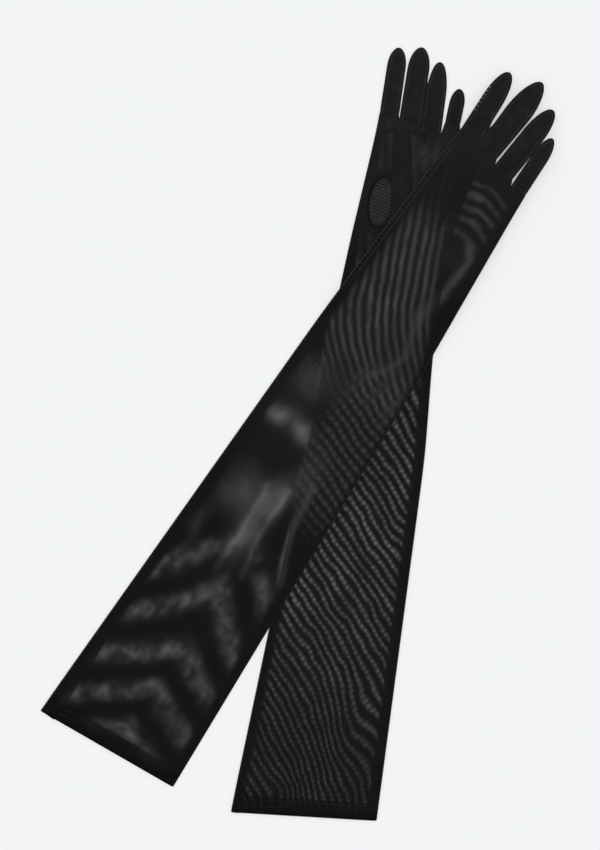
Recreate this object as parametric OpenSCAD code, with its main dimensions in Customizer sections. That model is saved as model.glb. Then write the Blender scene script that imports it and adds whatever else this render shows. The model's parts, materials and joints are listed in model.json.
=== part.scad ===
// A pair of sheer net opera gloves, laid flat and crossed, the right glove over the left.
//
// Each glove is built in a frame of its own, palm up: its hem is at y = 0, its fingers point
// towards +y, its thumb side is -x, its little-finger side is +x, and z = 0 is the outside of
// its back. The left glove lies that way up. The right glove is turned over, palm down, and
// leans on the left one, so its hem is on the table and its hand is on the left glove's hand.
// The layers of a glove are separate flat solids, so its inside stays open from hem to fingers.

/* [Fabric] */
// Thickness of one layer of net
net_t = 0.5; // [0.4:0.05:0.6]
// Space between the two layers of a glove, which the sewn edges fill
inner_gap = 0.6; // [0.5:0.05:0.8]
// Space between a palm and the thumb that is folded over it
thumb_gap = 0.3; // [0.2:0.05:0.4]
// Space between two pieces that fold or turn against each other
fold_gap = 0.3; // [0.2:0.05:0.5]

/* [Sleeves] */
// Flat width of the left glove at its hem
left_hem_w = 116; // [104:1:124]
// Flat width of the left glove at the elbow
left_elbow_w = 93.5; // [86:0.5:100]
// Flat width of the left glove at the wrist
left_wrist_w = 77.6; // [72:0.1:84]
// Flat width of the left glove at the knuckles
left_knuckle_w = 67; // [64:1:72]
// Flat width of the right glove at its hem
right_hem_w = 122; // [110:1:130]
// Flat width of the right glove at the elbow
right_elbow_w = 101.5; // [94:0.5:108]
// Flat width of the right glove at the wrist
right_wrist_w = 85; // [80:1:90]
// Flat width of the right glove at the knuckles
right_knuckle_w = 74; // [70:1:78]
// Depth of the turned-up hem
hem_depth = 13; // [8:1:16]
// Width of the seam turnings inside both long edges
seam_w = 8; // [5:0.5:8]
// Distance from hem to fold line on the left glove
left_fold_y = 125; // [60:5:130]
// Distance from hem to fold line on the right glove, at the elbow
right_fold_y = 300; // [200:10:340]

/* [Thumbs] */
// Width of the oval hole that a thumb is set into
thumb_hole_w = 19; // [16:1:20]
// Length of the oval hole that a thumb is set into
thumb_hole_l = 42; // [36:1:46]
// Width of the rolled seam round the oval hole
thumb_roll_w = 3; // [2:0.5:4]
// Width of the seam turnings inside a thumb
thumb_seam_w = 3.5; // [2.5:0.5:4]

/* [Fingers] */
// Width of a fourchette at the root of its finger
fourchette_w = 4.5; // [3:0.5:5]
// Width of a fourchette where the fingertip begins
fourchette_tip_w = 2.5; // [1.5:0.5:3]

/* [Stitching] */
// Length of one stitch
stitch_l = 3; // [2:0.5:4]
// Distance from one stitch to the next
stitch_pitch = 4; // [4:0.5:6]
// Width of the thread
thread_w = 0.4; // [0.3:0.1:0.5]
// Distance between the two rows of hem stitches
row_gap = 5; // [3:0.5:6]

/* [Placing] */
// Turn of the left glove's axis, clockwise from +y
left_turn = 9.8; // [8:0.1:12]
// Turn of the right glove's axis, clockwise from +y
right_turn = 33.2; // [31:0.1:36]
// Rise of the right glove from its hem to its fingers
lean = 0.7; // [0.7:0.05:1]

/* [Hidden] */
LEFT = 0;
RIGHT = 1;
THUMB_SIDE = -1;
LITTLE_SIDE = 1;
SIDES = ["left", "right"];
FINGERS = ["index", "middle", "ring", "little"];
SLEEVE_PIECES = ["upper_back_panel", "upper_palm_panel", "upper_inner_seam", "upper_outer_seam",
                 "hem", "hem_stitching"];
HAND_PIECES = ["back_panel", "palm_panel", "inner_seam", "outer_seam", "thumb_hole_seam"];
THUMB_PIECES = ["thumb", "thumb_seam"];
FINGER_PIECES = ["back", "palm", "fourchettes"];
FINGER_SEAMS = ["index_seam", "little_seam"];

// Heights inside a glove, palm up
palm_z = net_t + inner_gap;
glove_t = palm_z + net_t;
thumb_z = glove_t + thumb_gap;
thread_h = 0.15;
hem_fold_t = inner_gap / 2 - 0.05;

// Stations along a glove: hem, elbow, forearm, wrist and knuckles, with the flat width there and
// how far the sleeve's middle has swung off the glove's axis
station_y = [0, 300, 380, 460, 550];
station_w = [[left_hem_w, left_elbow_w, 84, left_wrist_w, left_knuckle_w],
             [right_hem_w, right_elbow_w, 94.5, right_wrist_w, right_knuckle_w]];
station_mid = [[0, -0.4, -3.3, -3, -2.5], [0, 0, 0, 0, 0.5]];
fold_y = [left_fold_y, right_fold_y];

// The hem's height at the thumb side and the little-finger side, because neither lies square
hem_ends = [[-7, 6], [-5, 2]];

// Each finger: root x, root y, width at the root, width before the tip, length, lean towards the
// little finger in degrees, and length of the pointed tip
fingers = [
    [[-28.2, 565, 15.4, 14.8, 54, -1.4, 16],
     [-11.0, 562, 17.2, 17.3, 60.5, -0.6, 19],
     [7.1, 556, 15.9, 15.8, 57.6, -2.3, 26],
     [22.9, 566, 12.0, 11.9, 28.5, 2.4, 13]],
    [[-25.4, 570, 18.0, 17.2, 58.3, -1, 26],
     [-6.5, 565, 18.2, 21.0, 70.8, 5, 32],
     [13.0, 558, 18.0, 17.6, 64.3, 5.6, 26],
     [30.8, 552, 13.8, 12.8, 50.5, 0.4, 19]]];
tip_steps = 12;
tip_power = 0.6;

// Each thumb: middle of the oval hole, root of the tube, width, length, lean and tip length
thumb_hole_at = [-23, 494];
thumbs = [[-5.5, 485, 16, 71.5, -8.5, 18], [-4, 492, 20, 72, -13, 22]];
oval_steps = 32;

// Where the seam along a thumb tube starts, how far its turnings stay inside the tube's edge, and
// how far the net over the oval hole reaches into the tube, so that no two faces share a plane
thumb_seam_from = 4;
thumb_seam_inset = 0.3;
thumb_cover_lap = 2;

// Distance from the folded edge's inner end to the outer row of hem stitches
stitch_row_inset = 2;

// Where each glove's hem centre lies in the pair, and the clearance under the right glove's hem
left_at = [4.89, -305.74, 0];
right_at = [-151.91, -250.94, 0.3];

function station_row(g, values) = [for (i = [0 : len(station_y) - 1]) [station_y[i], values[g][i]]];
function edge_x(g, side, y) =
    lookup(y, station_row(g, station_mid)) + side * lookup(y, station_row(g, station_w)) / 2;
function hem_y(g, side) = hem_ends[g][side == THUMB_SIDE ? 0 : 1];

// Points along one long edge from y0 to y1, moved inwards by inset
function edge_line(g, side, y0, y1, inset = 0) =
    [for (y = concat([y0], [for (s = station_y) if (s > y0 && s < y1) s], [y1]))
        [edge_x(g, side, y) - side * inset, y]];
function backwards(points) = [for (i = [len(points) - 1 : -1 : 0]) points[i]];
function ellipse_points(half_w, half_l, from = 0, to = 360, steps = oval_steps) =
    [for (i = [0 : steps]) let (a = from + (to - from) * i / steps) [half_w * cos(a), half_l * sin(a)]];

// A finger's outline from its root at y = y0 to its pointed tip, across the whole width
function tip_half(w, s) = w / 2 * pow(1 - s * s, tip_power);
function finger_side(w0, w1, length, tip, side) =
    [for (i = [0 : tip_steps]) let (s = i / tip_steps)
        [side * tip_half(w1, s), length - tip + tip * s]];
function finger_outline(w0, w1, length, tip, y0) = concat(
    [[-w0 / 2, y0]],
    finger_side(w0, w1, length, tip, THUMB_SIDE),
    backwards(finger_side(w0, w1, length, tip, LITTLE_SIDE)),
    [[w0 / 2, y0]]);
function leaned(points, at, angle) =
    [for (p = points) [at[0] + p[0] * cos(angle) + p[1] * sin(angle),
                       at[1] - p[0] * sin(angle) + p[1] * cos(angle)]];
function root_corner(f, side) = leaned([[side * f[2] / 2, -fold_gap / 2]], [f[0], f[1]], f[5])[0];

module layer(z, thickness) {
    translate([0, 0, z]) linear_extrude(thickness) children();
}

module thumb_hole(grown = 0) {
    translate(thumb_hole_at)
        polygon(ellipse_points(thumb_hole_w / 2 + grown, thumb_hole_l / 2 + grown));
}

// The hand and forearm between the fold line and the roots of the fingers
module hand_outline(g) {
    roots = [for (f = fingers[g]) each [root_corner(f, THUMB_SIDE), root_corner(f, LITTLE_SIDE)]];
    first_y = fold_y[g] + fold_gap / 2;
    last_y = station_y[4];
    polygon(concat(edge_line(g, THUMB_SIDE, first_y, last_y), roots,
                   backwards(edge_line(g, LITTLE_SIDE, first_y, last_y))));
}

module upper_outline(g) {
    last_y = fold_y[g] - fold_gap / 2;
    polygon(concat(edge_line(g, THUMB_SIDE, hem_y(g, THUMB_SIDE), last_y),
                   backwards(edge_line(g, LITTLE_SIDE, hem_y(g, LITTLE_SIDE), last_y))));
}

module edge_strip(g, side, y0, y1) {
    polygon(concat(edge_line(g, side, y0, y1), backwards(edge_line(g, side, y0, y1, seam_w))));
}

// A strip along the upper sleeve from the hem line, between the side seams
module hem_strip(g, from, depth) {
    thumb_y = hem_y(g, THUMB_SIDE) + from;
    little_y = hem_y(g, LITTLE_SIDE) + from;
    thumb_x = edge_x(g, THUMB_SIDE, thumb_y + depth) + seam_w;
    little_x = edge_x(g, LITTLE_SIDE, little_y + depth) - seam_w;
    polygon([[thumb_x, thumb_y], [little_x, little_y], [little_x, little_y + depth],
             [thumb_x, thumb_y + depth]]);
}

module back_panel(g) {
    color("#1b1b1e") layer(0, net_t) hand_outline(g);
}

module palm_panel(g) {
    color("#222226") layer(palm_z, net_t) difference() {
        hand_outline(g);
        thumb_hole();
    }
}

module inner_seam(g) {
    color("#101012") layer(net_t, inner_gap) difference() {
        edge_strip(g, THUMB_SIDE, fold_y[g] + fold_gap / 2, station_y[4]);
        thumb_hole(thumb_roll_w);
    }
}

module outer_seam(g) {
    color("#101012") layer(net_t, inner_gap)
        edge_strip(g, LITTLE_SIDE, fold_y[g] + fold_gap / 2, station_y[4]);
}

module thumb_hole_seam(g) {
    color("#0c0c0e") layer(net_t, inner_gap) difference() {
        thumb_hole(thumb_roll_w);
        thumb_hole();
    }
}

module upper_back_panel(g) {
    color("#1b1b1e") layer(0, net_t) upper_outline(g);
}

module upper_palm_panel(g) {
    color("#222226") layer(palm_z, net_t) upper_outline(g);
}

module upper_inner_seam(g) {
    color("#101012") layer(net_t, inner_gap)
        edge_strip(g, THUMB_SIDE, hem_y(g, THUMB_SIDE), fold_y[g] - fold_gap / 2);
}

module upper_outer_seam(g) {
    color("#101012") layer(net_t, inner_gap)
        edge_strip(g, LITTLE_SIDE, hem_y(g, LITTLE_SIDE), fold_y[g] - fold_gap / 2);
}

// The turned-up hem is one fold of net inside each layer, with the arm opening between them
module hem(g) {
    color("#161618") for (z = [net_t, palm_z - hem_fold_t])
        layer(z, hem_fold_t) hem_strip(g, 0, hem_depth);
}

// Two rows of stitches on the side of the hem that faces up in the pair
module hem_stitching(g) {
    start_x = edge_x(g, THUMB_SIDE, hem_depth) + seam_w;
    end_x = edge_x(g, LITTLE_SIDE, hem_depth) - seam_w;
    count = floor((end_x - start_x) / stitch_pitch);
    slope = (hem_y(g, LITTLE_SIDE) - hem_y(g, THUMB_SIDE)) / station_w[g][0];
    middle_y = (hem_y(g, LITTLE_SIDE) + hem_y(g, THUMB_SIDE)) / 2;
    color("#3a3a40") for (row = [0, 1], i = [0 : count - 1]) {
        x = start_x + (i + 0.5) * stitch_pitch;
        y = middle_y + slope * x + hem_depth - stitch_row_inset - row * row_gap;
        translate([x, y, g == LEFT ? glove_t : -thread_h])
            rotate([0, 0, atan(slope)])
                translate([-stitch_l / 2, -thread_w / 2, 0])
                    cube([stitch_l, thread_w, thread_h]);
    }
}

// The thumb tube, and over the oval hole the net that joins the tube to the hole's far side
module thumb_tube(g) {
    t = thumbs[g];
    polygon(leaned(finger_outline(t[2], t[2], t[3], t[5], 0), [t[0], t[1]], t[4]));
}

module thumb_cover(g) {
    t = thumbs[g];
    root = leaned([[0, t[3] / 3], [t[2] / 2 - thumb_cover_lap, thumb_cover_lap]],
                  [t[0], t[1]], t[4]);
    arc = [for (p = ellipse_points(thumb_hole_w / 2, thumb_hole_l / 2, 90, 270))
        thumb_hole_at + p];
    polygon(concat(arc, [root[1], root[0]]));
}

// A strip along one edge of the thumb, from its root to its tip
module thumb_edge(g, side) {
    t = thumbs[g];
    shoulder = t[3] - t[5];
    inner = side * (t[2] / 2 - thumb_seam_w);
    outer = side * (t[2] / 2 - thumb_seam_inset);
    polygon(leaned([[inner, thumb_seam_from], [outer, thumb_seam_from], [outer, shoulder],
                    [inner, shoulder]], [t[0], t[1]], t[4]));
}

module thumb(g) {
    color("#26262a") {
        layer(thumb_z, net_t) thumb_tube(g);
        layer(thumb_z + net_t, inner_gap) thumb_edge(g, LITTLE_SIDE);
        layer(thumb_z + palm_z, net_t) union() {
            thumb_tube(g);
            thumb_cover(g);
        }
    }
}

module thumb_seam(g) {
    color("#101012") layer(thumb_z + net_t, inner_gap) thumb_edge(g, THUMB_SIDE);
}

module finger_flat(f) {
    polygon(leaned(finger_outline(f[2], f[3], f[4], f[6], fold_gap / 2), [f[0], f[1]], f[5]));
}

// A strip along one edge of a finger, from its root to where the tip begins
module finger_edge(f, side) {
    shoulder = f[4] - f[6];
    outer = [[side * f[2] / 2, fold_gap / 2], [side * f[3] / 2, shoulder]];
    inner = [[side * (f[3] / 2 - fourchette_tip_w), shoulder],
             [side * (f[2] / 2 - fourchette_w), fold_gap / 2]];
    polygon(leaned(concat(outer, inner), [f[0], f[1]], f[5]));
}

module finger_back(f) {
    color("#1b1b1e") layer(0, net_t) finger_flat(f);
}

module finger_palm(f) {
    color("#222226") layer(palm_z, net_t) finger_flat(f);
}

// The side strips between two fingers: one on the index and little fingers, two on the others
module finger_fourchettes(name, f) {
    color("#141416") layer(net_t, inner_gap) {
        if (name != "index") finger_edge(f, THUMB_SIDE);
        if (name != "little") finger_edge(f, LITTLE_SIDE);
    }
}

module finger_seam(f, side) {
    color("#101012") layer(net_t, inner_gap) finger_edge(f, side);
}

module glove_piece(piece, g) {
    if (piece == "back_panel") back_panel(g);
    if (piece == "palm_panel") palm_panel(g);
    if (piece == "inner_seam") inner_seam(g);
    if (piece == "outer_seam") outer_seam(g);
    if (piece == "thumb_hole_seam") thumb_hole_seam(g);
    if (piece == "upper_back_panel") upper_back_panel(g);
    if (piece == "upper_palm_panel") upper_palm_panel(g);
    if (piece == "upper_inner_seam") upper_inner_seam(g);
    if (piece == "upper_outer_seam") upper_outer_seam(g);
    if (piece == "hem") hem(g);
    if (piece == "hem_stitching") hem_stitching(g);
    if (piece == "thumb") thumb(g);
    if (piece == "thumb_seam") thumb_seam(g);
    if (piece == "index_seam") finger_seam(fingers[g][0], THUMB_SIDE);
    if (piece == "little_seam") finger_seam(fingers[g][3], LITTLE_SIDE);
}

module finger_piece(piece, name, f) {
    if (piece == "back") finger_back(f);
    if (piece == "palm") finger_palm(f);
    if (piece == "fourchettes") finger_fourchettes(name, f);
}

// Puts a glove where it lies: the left one palm up, the right one turned over and leaning
module laid(g) {
    if (g == LEFT) {
        translate(left_at) rotate([0, 0, -left_turn]) children();
    } else {
        translate(right_at) rotate([lean, 0, -right_turn])
            translate([0, 0, glove_t]) mirror([0, 0, 1]) children();
    }
}

for (g = [LEFT, RIGHT]) {
    for (piece = concat(SLEEVE_PIECES, HAND_PIECES, THUMB_PIECES, FINGER_SEAMS)) {
        laid(g) glove_piece(piece, g);
    }
    for (i = [0 : 3], piece = FINGER_PIECES) {
        laid(g) finger_piece(piece, FINGERS[i], fingers[g][i]);
    }
}
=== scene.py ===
"""A pair of sheer black net opera gloves, laid flat and crossed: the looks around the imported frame.

Lengths are in metres, and MM turns millimetres into them. Each glove has a flat frame of its own:
across runs from its thumb side to its little-finger side, and along runs from its hem to its
fingertips. Both are kept on every vertex in millimetres, with the distance from the sheet's rim, so
that weave and moire stay on the cloth in every pose. Outlines come from the CAD nodes. This script
adds drape, edges, thread and finish.
"""

import json
import math

import bmesh
import bpy
import numpy as np
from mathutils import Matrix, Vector, geometry


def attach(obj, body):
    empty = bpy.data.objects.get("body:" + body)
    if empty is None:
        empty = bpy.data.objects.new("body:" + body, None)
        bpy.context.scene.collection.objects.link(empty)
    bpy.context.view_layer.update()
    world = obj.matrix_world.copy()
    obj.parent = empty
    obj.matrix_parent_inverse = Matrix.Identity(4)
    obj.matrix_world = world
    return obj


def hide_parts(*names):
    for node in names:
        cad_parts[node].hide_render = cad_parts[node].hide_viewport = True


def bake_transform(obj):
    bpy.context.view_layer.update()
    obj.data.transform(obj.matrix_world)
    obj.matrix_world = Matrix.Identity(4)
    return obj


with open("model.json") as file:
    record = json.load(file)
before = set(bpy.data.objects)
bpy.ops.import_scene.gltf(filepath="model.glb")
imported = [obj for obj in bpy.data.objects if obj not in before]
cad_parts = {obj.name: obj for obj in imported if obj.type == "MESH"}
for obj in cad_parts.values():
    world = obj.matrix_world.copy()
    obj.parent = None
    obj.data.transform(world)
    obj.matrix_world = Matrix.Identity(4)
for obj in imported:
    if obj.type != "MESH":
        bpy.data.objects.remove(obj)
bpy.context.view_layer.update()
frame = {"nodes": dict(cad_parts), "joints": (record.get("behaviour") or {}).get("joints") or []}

MM = 0.001
JOINTS = {joint["name"]: joint for joint in frame["joints"]}
FINGERS = ("index", "middle", "ring", "little")

# How far each fold line lies from its hem, and how much each glove leans, as in part.scad
FOLD_FROM_HEM = {"left": 125 * MM, "right": 300 * MM}
LEAN = {"left": 0.0, "right": math.tan(math.radians(0.7))}
RIGHT_CLEARANCE = 0.3 * MM

# The bend reaches further into the sleeve, which rises, than into the hand, which would dip
FOLD_ZONE = (14 * MM, 3 * MM)

# Heights of a glove's layers above its underside
NET_T = 0.26 * MM
UNDER_NET = 0.16 * MM
PLY = 0.6 * MM
TOP_NET = 1.06 * MM
PUFF = 0.25 * MM
SEAM_LINE = 0.5 * MM

# How far inwards of its rim a sheet is rounded down to its seam
EDGE_ROUND = 1.6 * MM

# Depth of the turned-up hem and of its stitch rows, and of each finger's root inside the hand
HEM_DEPTH = 13 * MM
STITCH_ROWS = (11 * MM, 6 * MM)
FINGER_TUCK = 7 * MM

# A finger's bend zone, along it from its root. A thumb's: its direction, the share of the way from
# the oval hole to the root that it starts past, how far past, and its length
FINGER_BEND = (-1 * MM, 10 * MM)
THUMB_BEND_TOWARDS = np.array([0.75, 0.66])
THUMB_BEND_SHARE = 0.65
THUMB_BEND_START = 4 * MM
THUMB_BEND_LENGTH = 18 * MM

# Spacing of mesh points over the panels, the fingers and the outlines
PANEL_STEP = 3.4 * MM
FINGER_STEP = 2.2 * MM
RIM_STEP = 2.6 * MM

# Keeps a division by a length of nothing finite
TINY = 1e-12


# -------------------- flat geometry


def distance_to(points, loops):
    """How far each point is from the nearest segment of the closed loops."""
    best = np.full(len(points), np.inf)
    for loop in loops:
        for a, b in zip(loop, np.roll(loop, -1, axis=0)):
            run = b - a
            t = np.clip((points - a) @ run / max(run @ run, TINY), 0, 1)
            best = np.minimum(best, np.linalg.norm(points - a - t[:, None] * run, axis=1))
    return best


def inside(points, loop):
    """Which points are inside a closed loop."""
    odd = np.zeros(len(points), bool)
    for a, b in zip(loop, np.roll(loop, -1, axis=0)):
        crosses = (a[1] > points[:, 1]) != (b[1] > points[:, 1])
        rise = b[1] - a[1] if b[1] != a[1] else TINY
        odd ^= crosses & (points[:, 0] < (b[0] - a[0]) * (points[:, 1] - a[1]) / rise + a[0])
    return odd


def within(points, outline, holes):
    """Which points are inside the outline and outside its holes."""
    found = inside(points, outline)
    for hole in holes:
        found &= ~inside(points, hole)
    return found


def area_of(loop):
    """The area in a loop, positive if it runs counter-clockwise."""
    x, y = loop[:, 0], loop[:, 1]
    return 0.5 * float(x @ np.roll(y, -1) - y @ np.roll(x, -1))


def smoothed(loop, step, corner_deg, passes, closed=True):
    """A polyline with points about step apart, its shallow bends rounded and its corners kept."""
    count = len(loop) if closed else len(loop) - 1
    points, fixed = [], []
    for i in range(count):
        a, b = loop[i], loop[(i + 1) % len(loop)]
        before = a - loop[i - 1]
        after = b - a
        turn = abs(math.atan2(before[0] * after[1] - before[1] * after[0], before @ after))
        pieces = max(1, round(float(np.linalg.norm(after)) / step))
        for k in range(pieces):
            points.append(a + after * k / pieces)
            fixed.append(k == 0 and math.degrees(turn) > corner_deg)
    if not closed:
        points.append(loop[-1])
        fixed[0] = True
        fixed.append(True)
    points, free = np.array(points), ~np.array(fixed)
    for _ in range(passes):
        middle = (np.roll(points, 1, axis=0) + 2 * points + np.roll(points, -1, axis=0)) / 4
        points[free] = middle[free]
    return points


def lengths_along(path):
    """How far along the path each of its points is."""
    return np.concatenate([[0], np.cumsum(np.linalg.norm(np.diff(path, axis=0), axis=1))])


def points_at(path, along, places):
    """The path's points, or what stands in for them, at those places along it."""
    return np.stack([np.interp(places, along, path[:, k]) for k in (0, 1)], axis=1)


def normals_of(path, closed):
    """Unit normals to the left of travel, which is inwards on a counter-clockwise outline."""
    if closed:
        run = np.roll(path, -1, axis=0) - np.roll(path, 1, axis=0)
    else:
        run = np.gradient(path, axis=0)
    run /= np.maximum(np.linalg.norm(run, axis=1), TINY)[:, None]
    return np.stack([-run[:, 1], run[:, 0]], axis=1)


def smoothstep(x, low, high):
    t = np.clip((x - low) / (high - low), 0, 1)
    return t * t * (3 - 2 * t)


def filled(outline, holes, step):
    """Points and triangles that fill an outline less its holes, with a ring near every edge."""
    loops = [outline, *holes]
    low, high = outline.min(axis=0), outline.max(axis=0)
    rows = []
    for k, y in enumerate(np.arange(low[1], high[1], step * 0.87)):
        x = np.arange(low[0] + (k % 2) * step / 2, high[0], step)
        rows.append(np.stack([x, np.full(len(x), y)], axis=1))
    lattice = np.vstack(rows)
    ring = np.vstack([loop + normals_of(loop, True) * EDGE_ROUND for loop in loops])
    lattice = lattice[distance_to(lattice, loops) > EDGE_ROUND + 0.4 * step]
    ring = ring[distance_to(ring, loops) > 0.8 * EDGE_ROUND]
    extra = np.vstack([lattice, ring])
    points = np.vstack([*loops, extra[within(extra, outline, holes)]])
    edges, start = [], 0
    for loop in loops:
        edges += [(start + i, start + (i + 1) % len(loop)) for i in range(len(loop))]
        start += len(loop)
    made = geometry.delaunay_2d_cdt([Vector(p) for p in points], edges, [], 1, 1e-7)
    points = np.array([tuple(p) for p in made[0]])
    faces = [face for face in made[2] if len(face) == 3]
    middles = np.array([points[list(face)].mean(axis=0) for face in faces])
    kept = within(middles, outline, holes)
    return points, [face for face, keep in zip(faces, kept) if keep]


# -------------------- the two gloves' frames


def ripple(flat):
    """A slow unevenness of laid cloth, from 0 to 1."""
    u, v = flat[:, 0] / MM, flat[:, 1] / MM
    waves = np.sin(u / 17 + v / 31 + 0.6) + np.sin(v / 23 - u / 29) + np.sin(v / 47 + u / 41 + 2)
    return (waves + 3) / 6


class Glove:
    """One glove's flat frame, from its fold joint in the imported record."""

    def __init__(self, side):
        fold = JOINTS[f"{side}_sleeve_fold"]
        self.side = side
        self.across = -np.array(fold["axis"][:2]) / np.linalg.norm(fold["axis"][:2])
        self.along = np.array([-self.across[1], self.across[0]])
        self.origin = np.array(fold["pos_m"][:2]) - self.along * FOLD_FROM_HEM[side]
        self.hand = f"{side}_hand"
        self.sleeve = f"{side}_upper_sleeve"

    def flat(self, places):
        places = np.atleast_2d(places) - self.origin
        return np.stack([places @ self.across, places @ self.along], axis=1)

    def place(self, flat):
        return self.origin + flat[:, :1] * self.across + flat[:, 1:] * self.along

    def point(self, across, along, height=0.0):
        x, y = self.place(np.array([[across, along]]))[0]
        return (float(x), float(y), height)

    def rest(self, flat):
        """The height of the glove's underside: on the floor, or over what lies beneath it."""
        uneven = 0.1 * MM + 0.45 * MM * ripple(flat)
        if self.side == "left":
            return uneven
        beneath = left_rim_distance(self.place(flat))
        draped = uneven + LEFT_TOP * smoothstep(beneath, -14 * MM, 2 * MM)
        plane = RIGHT_CLEARANCE + LEAN["right"] * flat[:, 1]
        raised = smoothstep(flat[:, 1], 360 * MM, 470 * MM)
        raised *= 1 - 0.6 * smoothstep(flat[:, 1], 572 * MM, 640 * MM)
        return draped + raised * (plane - draped)

    def cad_outlines(self, node, facing=1):
        """The outlines of a flat CAD node's highest or lowest face, largest first."""
        mesh = bmesh.new()
        mesh.from_mesh(frame["nodes"][node].data)
        bmesh.ops.remove_doubles(mesh, verts=mesh.verts, dist=1e-6)
        mesh.normal_update()
        level = {}
        for face in mesh.faces:
            if face.normal.z * facing > 0.9:
                centre = face.calc_center_median()
                along = self.flat(np.array(centre[:2]))[0, 1]
                level[face] = facing * (centre.z - LEAN[self.side] * along)
        top = max(level.values())
        chosen = {face for face, height in level.items() if height > top - 0.05 * MM}
        links = {}
        for edge in mesh.edges:
            if sum(face in chosen for face in edge.link_faces) == 1:
                a, b = edge.verts
                links.setdefault(a, []).append(b)
                links.setdefault(b, []).append(a)
        loops = []
        while links:
            first = min(links, key=lambda vert: vert.index)
            loop, last, here = [first], None, first
            while True:
                ahead = [vert for vert in links[here] if vert is not last][0]
                if ahead is first:
                    break
                loop.append(ahead)
                last, here = here, ahead
            for vert in loop:
                del links[vert]
            flat = self.flat(np.array([vert.co[:2] for vert in loop]))
            loops.append(flat if area_of(flat) > 0 else flat[::-1])
        mesh.free()
        return sorted(loops, key=lambda loop: -area_of(loop))

    def panel_outline(self):
        """One layer from hem to finger roots: both CAD panels, without the gap at the fold."""
        fold = FOLD_FROM_HEM[self.side]
        halves = []
        for node, side in (("upper_back_panel", -1), ("back_panel", 1)):
            loop = self.cad_outlines(f"{self.side}_{node}")[0]
            at_fold = np.abs(loop[:, 1] - fold) < 1 * MM
            corner = int(np.argmax(np.where(at_fold, side * loop[:, 0], -np.inf)))
            loop, at_fold = np.roll(loop, -corner, axis=0), np.roll(at_fold, -corner)
            halves.append(loop[~at_fold])
        return smoothed(np.vstack(halves), RIM_STEP, corner_deg=14, passes=60)

    def edge_run(self, outline, side):
        """The long edge of the panel on one side, from one of its ends to the other."""
        aside = side * outline[:, 0]
        hem_at = int(np.argmax(aside - outline[:, 1]))
        root_at = int(np.argmax(aside + outline[:, 1]))
        start, end = (root_at, hem_at) if side < 0 else (hem_at, root_at)
        turned = np.roll(outline, -start, axis=0)
        return turned[: (end - start) % len(outline) + 1]


LEFT = Glove("left")
LEFT_TOP = 1.75 * MM
LEFT_PANEL = LEFT.panel_outline()


def left_rim_distance(places):
    """How far inside the left glove's panel each place is, and less than 0 outside it."""
    flat = LEFT.flat(places)
    away = distance_to(flat, [LEFT_PANEL[::4]])
    return np.where(inside(flat, LEFT_PANEL), away, -away)


RIGHT = Glove("right")


# -------------------- making pieces


def placed(name, data):
    """A new object in the scene."""
    made = bpy.data.objects.new(name, data)
    bpy.context.scene.collection.objects.link(made)
    return made


def piece(name, glove, flat, heights, faces, material, from_rim=None):
    """A mesh piece from flat points and heights, with its place on the cloth kept on it."""
    mesh = bpy.data.meshes.new(name)
    places = glove.place(flat)
    mesh.from_pydata(np.column_stack([places, heights]).tolist(), [], faces)
    mesh.validate()
    cloth = mesh.attributes.new("cloth", "FLOAT_VECTOR", "POINT")
    if from_rim is None:
        from_rim = np.zeros(len(flat))
    on_cloth = (np.column_stack([flat, from_rim]) / MM).astype(np.float32)
    cloth.data.foreach_set("vector", on_cloth.ravel())
    made = placed(name, mesh)
    shape = bmesh.new()
    shape.from_mesh(mesh)
    bmesh.ops.recalc_face_normals(shape, faces=shape.faces)
    shape.to_mesh(mesh)
    shape.free()
    mesh.shade_smooth()
    mesh.set_sharp_from_angle(angle=math.radians(55))
    mesh.materials.append(material)
    return made


def net(name, glove, outline, height, material, holes=(), step=PANEL_STEP, thickness=NET_T):
    """A closed thin sheet. height(flat, from_rim) gives the middle of its thickness."""
    flat, triangles = filled(outline, list(holes), step)
    from_rim = distance_to(flat, [outline, *holes])
    middle = height(flat, from_rim)
    count = len(flat)
    uses = {}
    for face in triangles:
        for a, b in zip(face, (*face[1:], face[0])):
            key = (min(a, b), max(a, b))
            uses[key] = None if key in uses else (a, b)
    faces = [tuple(face) for face in triangles]
    faces += [tuple(i + count for i in reversed(face)) for face in triangles]
    faces += [(b, a, a + count, b + count) for a, b in filter(None, uses.values())]
    heights = np.concatenate([middle + thickness / 2, middle - thickness / 2])
    return piece(name, glove, np.vstack([flat, flat]), heights, faces, material,
                 from_rim=np.tile(from_rim, 2))


def swept(name, glove, path, profile, height, material, closed=False):
    """A strip or roll along a path. profile is a closed outline of (inwards, up) pairs."""
    profile = np.array(profile)
    inward = normals_of(path, closed)
    count, sides = len(path), len(profile)
    flat = (path[:, None, :] + inward[:, None, :] * profile[None, :, :1]).reshape(-1, 2)
    heights = np.repeat(height(path), sides) + np.tile(profile[:, 1], count)
    return piece(name, glove, flat, heights, strip_faces(count, sides, closed), material)


def strip_faces(count, sides, closed=False):
    """Faces between rings of that many sides, one ring after another, with ends unless closed."""
    faces = []
    for i in range(count if closed else count - 1):
        here, ahead = i * sides, (i + 1) % count * sides
        for k in range(sides):
            after = (k + 1) % sides
            faces.append((here + k, here + after, ahead + after, ahead + k))
    if not closed:
        faces.append(tuple(range(sides)))
        faces.append(tuple(range((count - 1) * sides, count * sides))[::-1])
    return faces


def oval(width, height, up=0.0, inwards=0.0, sides=8):
    """A profile with a round outline."""
    return [(inwards + width / 2 * math.cos(2 * math.pi * k / sides),
             up + height / 2 * math.sin(2 * math.pi * k / sides)) for k in range(sides)]


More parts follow.
